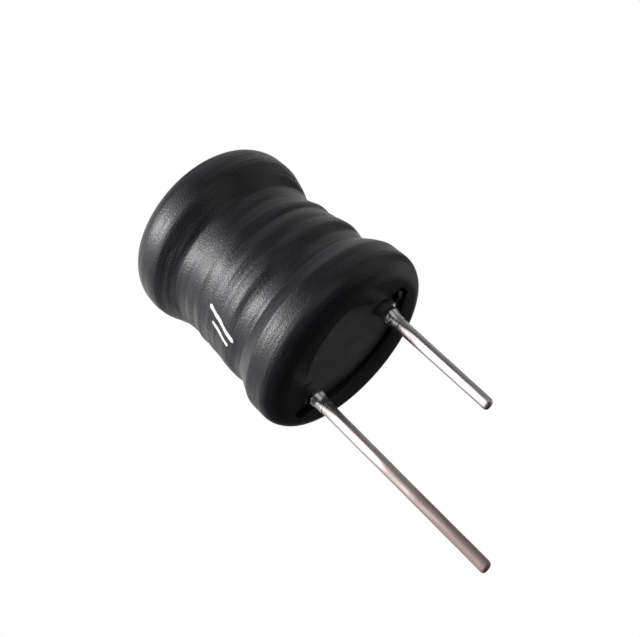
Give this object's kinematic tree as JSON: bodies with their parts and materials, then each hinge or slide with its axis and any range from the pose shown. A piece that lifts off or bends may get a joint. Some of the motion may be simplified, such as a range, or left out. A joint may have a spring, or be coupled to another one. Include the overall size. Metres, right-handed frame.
{
  "type": "radial inductor",
  "caption": "Leaded choke for a circuit board: wire wound on a ferrite drum core, held in a shrunk black sleeve, with two tinned leads.",
  "frame": {"origin": "on the body's axis, in the plane of the sleeve's end at the leads, where the part meets the board", "axes": "+Z along the body's axis, from the leads to the head; +X from the long lead to the short lead"},
  "size_m": [0.0098, 0.0098, 0.0216],
  "materials": {
    "ferrite": "sintered, dark grey, matt",
    "enamelled_copper": "copper wire with clear enamel",
    "black_shrink_tube": "shrunk polyolefin tube, satin black",
    "tinned_wire": "hot-dip tinned, bright",
    "solder": "solder, bright"
  },
  "bodies": {
    "root": {"drum_core": "ferrite", "winding": "enamelled_copper", "shrink_sleeve": "black_shrink_tube", "lead_short": "tinned_wire", "lead_long": "tinned_wire", "solder_joint_short": "solder", "solder_joint_long": "solder"}
  },
  "joints": []
}
